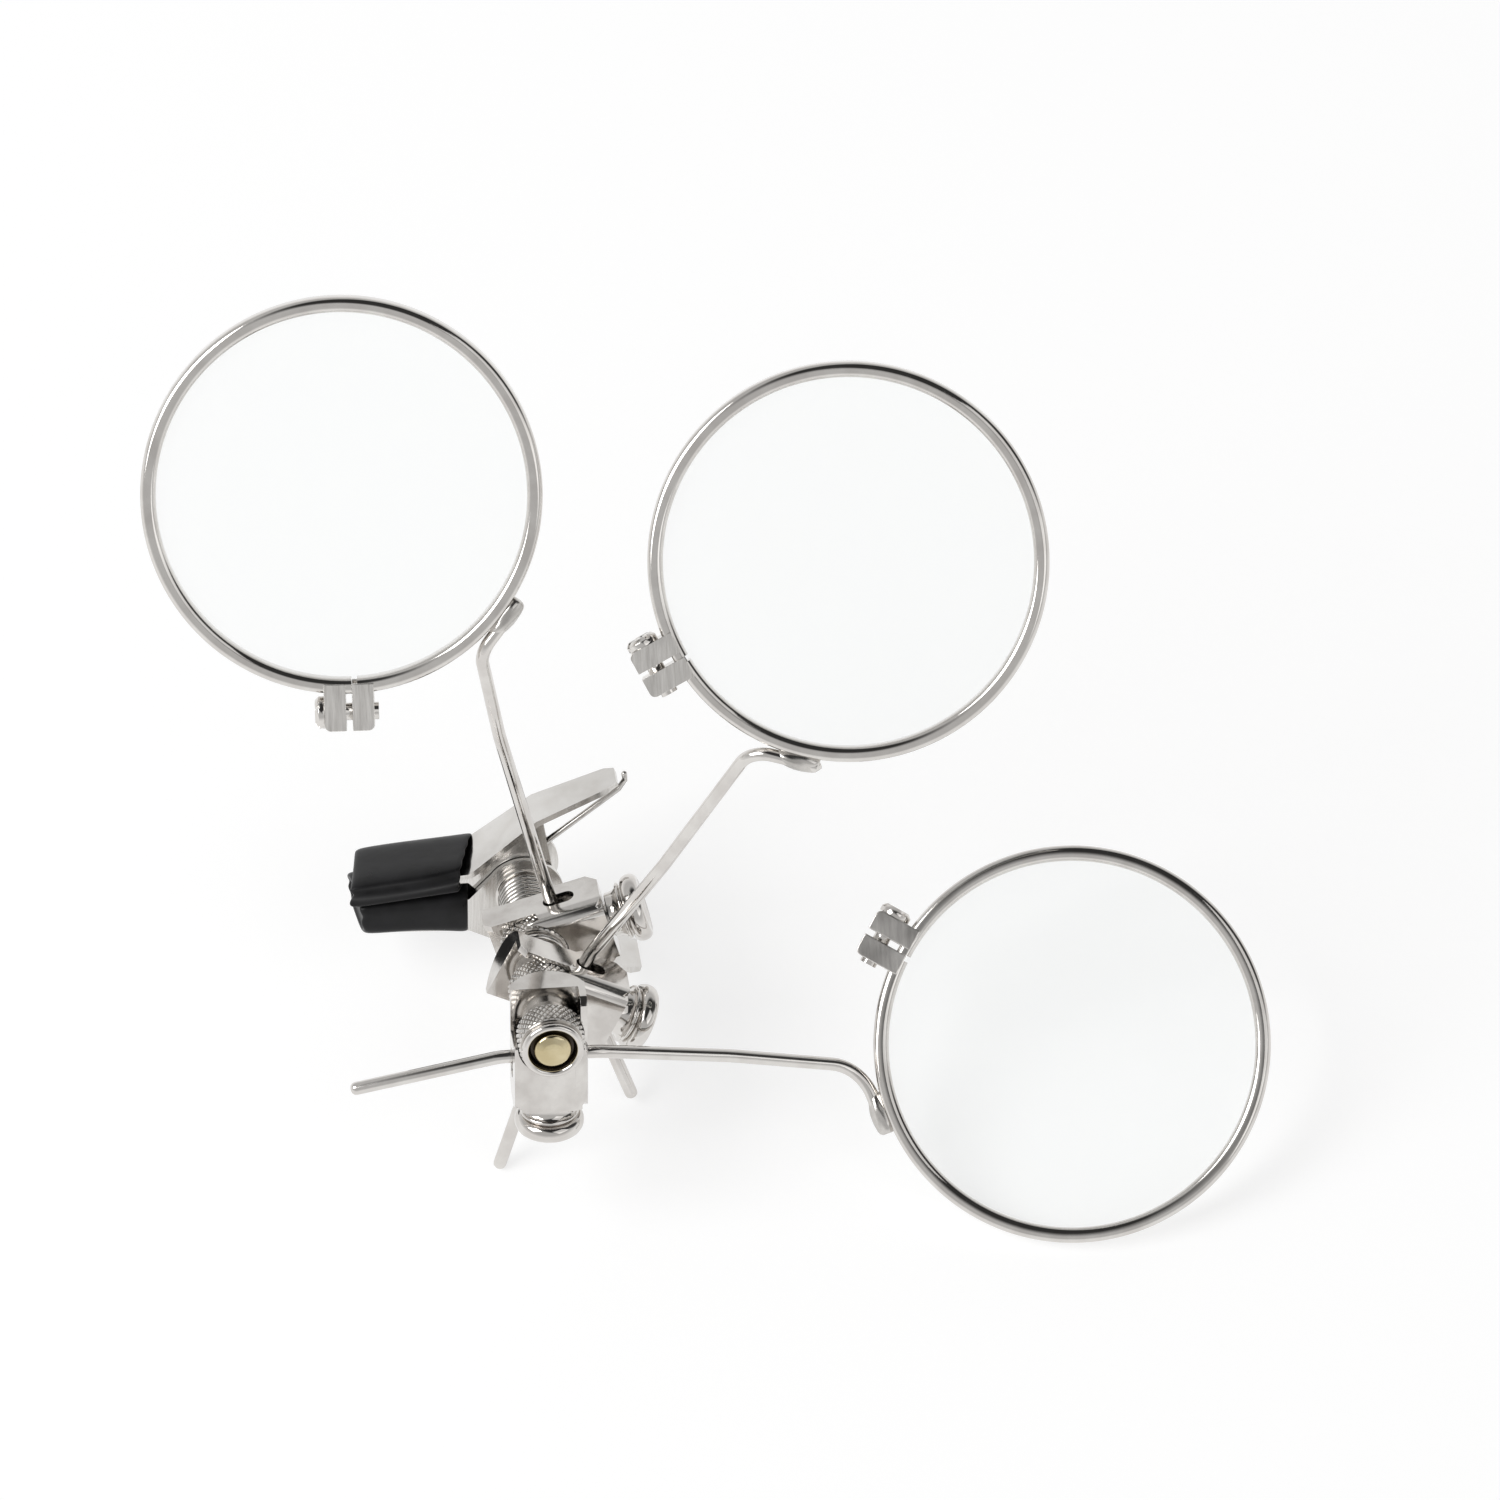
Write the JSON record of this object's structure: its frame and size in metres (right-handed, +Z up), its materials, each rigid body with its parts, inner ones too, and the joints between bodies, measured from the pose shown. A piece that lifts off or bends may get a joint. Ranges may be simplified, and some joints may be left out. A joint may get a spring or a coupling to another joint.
{
  "type": "clip-on triple loupe",
  "caption": "Clip-on multi-lens magnifier: a small spring clip carries a rod of swivelling brackets, each clamping a bent wire arm that holds a rimmed lens.",
  "frame": {"origin": "centre of the bounding box's bottom face, in the pose the object stands in: on one wire's tail, the clip's lower handle and one rim", "axes": "+Z up; +X to the side the third lens reaches, along the longest extent; +Y away from the front bracket, towards the clip, the rod tilting down about 26 degrees that way"},
  "size_m": [0.0884, 0.054, 0.0688],
  "materials": {
    "polished_nickel": "bright nickel plate with fine wear",
    "knurled_nickel": "nickel plate over a diamond knurl",
    "clip_steel": "nickel-plated steel with a brushed grain",
    "spring_steel": "bright drawn spring wire",
    "rod_brass": "pale brass, turned and slightly tarnished",
    "black_sleeve": "black soft vinyl tube, semi-gloss",
    "solder": "silver solder, plated over",
    "glass": "clear polished glass"
  },
  "bodies": {
    "base": {"clip_lower_jaw": "clip_steel", "lower_jaw_sleeve": "black_sleeve", "rod": "rod_brass", "clip_washer": "polished_nickel", "friction_spring": "spring_steel", "front_spacer": "polished_nickel", "rear_spacer": "polished_nickel", "clip_torsion_spring": "spring_steel"},
    "upper_jaw": {"clip_upper_jaw": "clip_steel", "upper_jaw_sleeve": "black_sleeve"},
    "bracket_body_1": {"bracket_1": "polished_nickel", "knurled_bush_1": "knurled_nickel"},
    "arm_1": {"arm_wire_1": "polished_nickel", "solder_joint_1": "solder", "rim_1": "polished_nickel", "closing_blocks_1": "polished_nickel", "rim_screw_1": "polished_nickel", "lens_1": "glass"},
    "screw_1": {"thumb_screw_1": "polished_nickel"},
    "bracket_body_2": {"bracket_2": "polished_nickel", "knurled_bush_2": "knurled_nickel"},
    "arm_2": {"arm_wire_2": "polished_nickel", "solder_joint_2": "solder", "rim_2": "polished_nickel", "closing_blocks_2": "polished_nickel", "rim_screw_2": "polished_nickel", "lens_2": "glass"},
    "screw_2": {"thumb_screw_2": "polished_nickel"},
    "bracket_body_3": {"bracket_3": "polished_nickel", "knurled_bush_3": "knurled_nickel"},
    "arm_3": {"arm_wire_3": "polished_nickel", "solder_joint_3": "solder", "rim_3": "polished_nickel", "closing_blocks_3": "polished_nickel", "rim_screw_3": "polished_nickel", "lens_3": "glass"},
    "screw_3": {"thumb_screw_3": "polished_nickel"}
  },
  "joints": [
    {"name": "clip_open", "type": "hinge", "parent": "base", "child": "upper_jaw", "pos_m": [-0.01446, 0.00637, 0.00885], "axis": [-0.0163, 0.8967, -0.4423], "range_deg": [0, 25], "stiffness_Nm_per_rad": 0.03, "springref_deg": -57.3, "deforming": ["clip_torsion_spring"]},
    {"name": "swing_1", "type": "hinge", "parent": "base", "child": "bracket_body_1", "pos_m": [-0.01431, -0.0017, 0.01283], "axis": [0.0163, -0.8967, 0.4423], "range_deg": [-8, 180]},
    {"name": "twist_1", "type": "hinge", "parent": "bracket_body_1", "child": "arm_1", "pos_m": [-0.01194, -0.00139, 0.01337], "axis": [-0.2522, 0.4244, 0.8697], "range_deg": [-30, 30]},
    {"name": "screw_turn_1", "type": "hinge", "parent": "bracket_body_1", "child": "screw_1", "pos_m": [-0.00657, -0.0007, 0.01458], "axis": [0.9675, 0.1257, 0.2192], "continuous": true},
    {"name": "swing_2", "type": "hinge", "parent": "base", "child": "bracket_body_2", "pos_m": [-0.01421, -0.00753, 0.0157], "axis": [0.0163, -0.8967, 0.4423], "range_deg": [-12, 8]},
    {"name": "twist_2", "type": "hinge", "parent": "bracket_body_2", "child": "arm_2", "pos_m": [-0.01204, -0.00801, 0.01466], "axis": [0.4677, 0.3978, 0.7893], "range_deg": [-30, 30]},
    {"name": "screw_turn_2", "type": "hinge", "parent": "bracket_body_2", "child": "screw_2", "pos_m": [-0.00713, -0.00908, 0.0123], "axis": [0.8837, -0.194, -0.4259], "continuous": true},
    {"name": "swing_3", "type": "hinge", "parent": "base", "child": "bracket_body_3", "pos_m": [-0.0141, -0.01336, 0.01858], "axis": [0.0163, -0.8967, 0.4423], "range_deg": [-180, 12]},
    {"name": "twist_3", "type": "hinge", "parent": "bracket_body_3", "child": "arm_3", "pos_m": [-0.01418, -0.01444, 0.01638], "axis": [0.9993, 0, -0.0368], "range_deg": [-30, 30]},
    {"name": "screw_turn_3", "type": "hinge", "parent": "bracket_body_3", "child": "screw_3", "pos_m": [-0.01436, -0.0169, 0.01141], "axis": [-0.033, -0.4426, -0.8961], "continuous": true}
  ]
}
